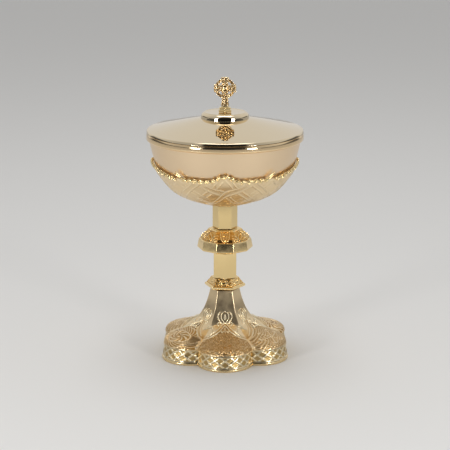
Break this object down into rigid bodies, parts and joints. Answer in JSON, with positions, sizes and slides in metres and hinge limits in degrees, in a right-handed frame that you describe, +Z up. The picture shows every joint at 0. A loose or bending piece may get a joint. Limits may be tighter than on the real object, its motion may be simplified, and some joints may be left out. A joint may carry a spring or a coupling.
{
  "type": "ciborium",
  "caption": "Covered ciborium: lobed foot, faceted stem with knop and collar, wide cup in a cast calyx, lift-off lid with a ring cross.",
  "frame": {"origin": "middle of the foot's underside, at the height that the foot stands at", "axes": "+Z up along the stem; the front faces -Y, with a lobe of the foot towards it; +X is to the right seen from the front"},
  "size_m": [0.1438, 0.1438, 0.2599],
  "materials": {
    "satin_gilt": "satin",
    "mirror_gilt": "mirror polished",
    "stem_gilt": "polished",
    "cast_gilt": "cast and gilt",
    "foot_gilt": "chased and gilt",
    "plain_brass": "turned",
    "steel": "turned"
  },
  "bodies": {
    "vessel": {"foot_rim": "foot_gilt", "foot_gallery": "foot_gilt", "foot_shell": "foot_gilt", "foot_plate": "plain_brass", "foot_nut": "steel", "tie_rod": "steel", "collar": "cast_gilt", "lower_stem": "stem_gilt", "knop": "cast_gilt", "upper_stem": "stem_gilt", "bowl_boss": "plain_brass", "calyx": "cast_gilt", "bowl": "satin_gilt"},
    "lid": {"lid_rim": "mirror_gilt", "lid_bezel": "mirror_gilt", "lid_dome": "mirror_gilt", "lid_knob": "mirror_gilt", "lid_washer": "plain_brass", "lid_nut": "steel", "cross_base": "cast_gilt", "cross": "cast_gilt"}
  },
  "joints": [
    {"name": "lid_lift", "type": "slide", "parent": "vessel", "child": "lid", "axis": [0, 0, 1], "range_m": [0, 0.1]}
  ]
}
